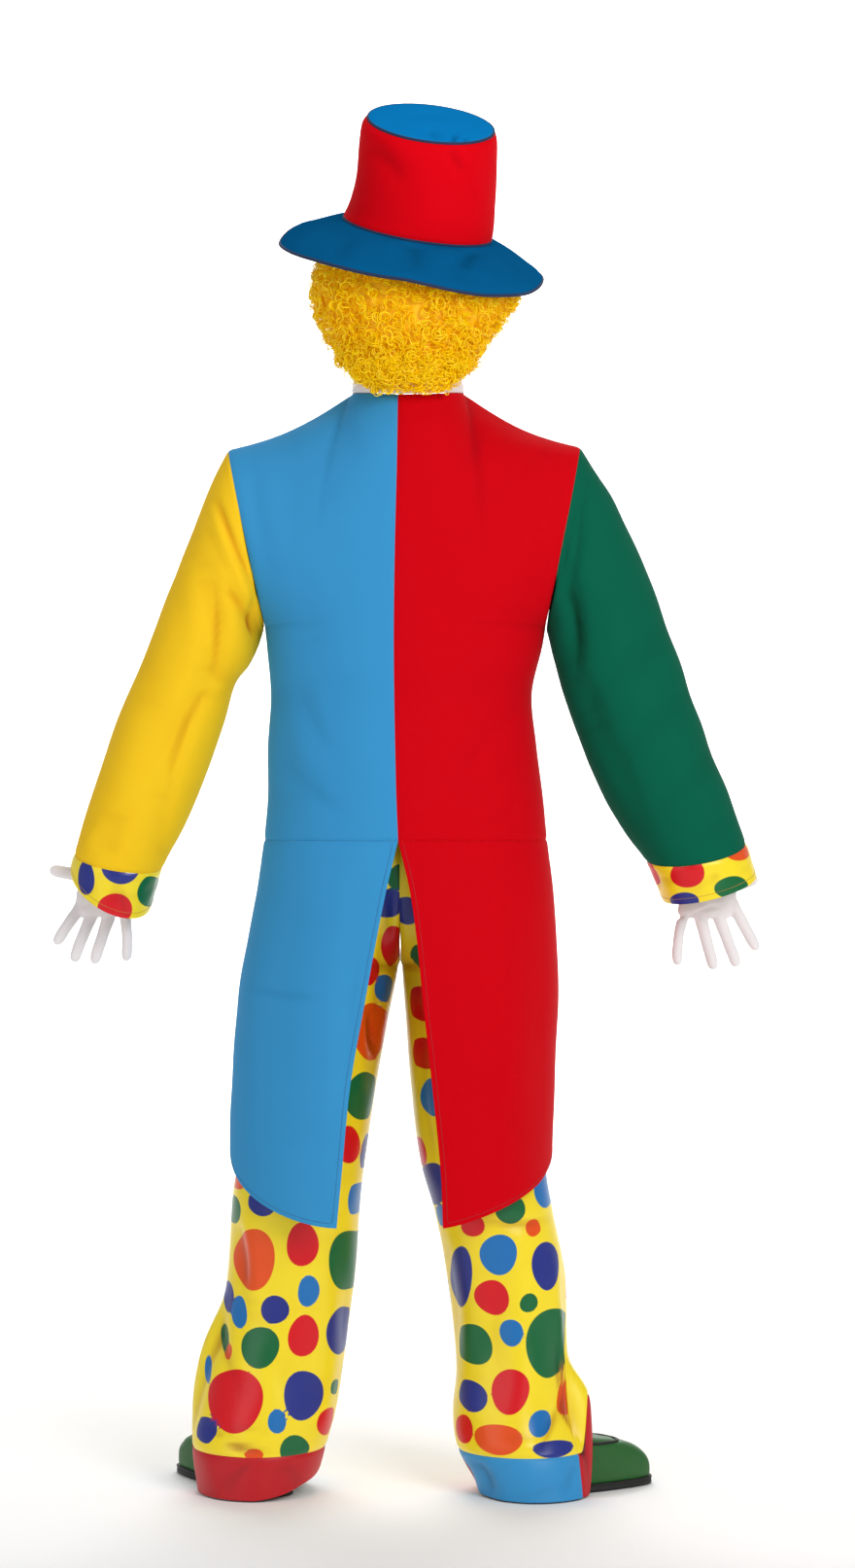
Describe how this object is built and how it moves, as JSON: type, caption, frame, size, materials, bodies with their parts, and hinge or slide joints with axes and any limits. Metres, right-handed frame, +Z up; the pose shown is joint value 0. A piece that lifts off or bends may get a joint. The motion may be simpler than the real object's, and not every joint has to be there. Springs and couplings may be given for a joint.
{
  "type": "clown costume",
  "caption": "Worn clown costume, hollow: hat, curly wig, stand collar, two-colour tailcoat, dotted trousers, gloves and round-toed shoes.",
  "frame": {"origin": "middle of the neck opening, where the wearer holds the costume up, 1.5 m above the floor under the soles", "axes": "+Z up, +Y the way the wearer faces, +X to the wearer's right"},
  "size_m": [1.0045, 0.371, 1.9333],
  "materials": {
    "blue_cloth": "matte smooth polyester",
    "red_cloth": "matte smooth polyester",
    "yellow_cloth": "matte smooth polyester",
    "green_cloth": "matte smooth polyester",
    "dotted_satin": "glossy printed satin",
    "white_satin": "glossy satin",
    "red_satin": "satin",
    "blue_satin": "satin",
    "hat_red": "smooth cloth on foam",
    "hat_blue": "smooth cloth on foam",
    "curls": "soft shiny fibre",
    "white_knit": "fine knit",
    "green_shoe": "soft matte",
    "black_sole": "matte",
    "button": "gloss"
  },
  "bodies": {
    "root": {"coat_back_left": "blue_cloth", "coat_back_right": "red_cloth", "coat_front_left": "blue_cloth", "coat_front_right": "red_cloth", "tail_left": "blue_cloth", "tail_right": "red_cloth", "sleeve_left": "yellow_cloth", "sleeve_right": "green_cloth", "cuff_left": "dotted_satin", "cuff_right": "dotted_satin", "collar": "white_satin", "trouser_back_left": "dotted_satin", "hem_band_back_left": "red_satin", "trouser_back_right": "dotted_satin", "hem_band_back_right": "blue_satin", "trouser_front_left": "dotted_satin", "hem_band_front_left": "blue_satin", "trouser_front_right": "dotted_satin", "hem_band_front_right": "red_satin", "waistband": "dotted_satin", "hat_crown": "hat_red", "hat_brim": "hat_blue", "hat_top": "hat_blue", "wig": "curls", "glove_left": "white_knit", "glove_right": "white_knit", "shoe_left": "green_shoe", "shoe_right": "green_shoe", "sole_left": "black_sole", "sole_right": "black_sole", "coat_button_1": "button", "coat_button_2": "button", "coat_button_3": "button"}
  },
  "joints": []
}
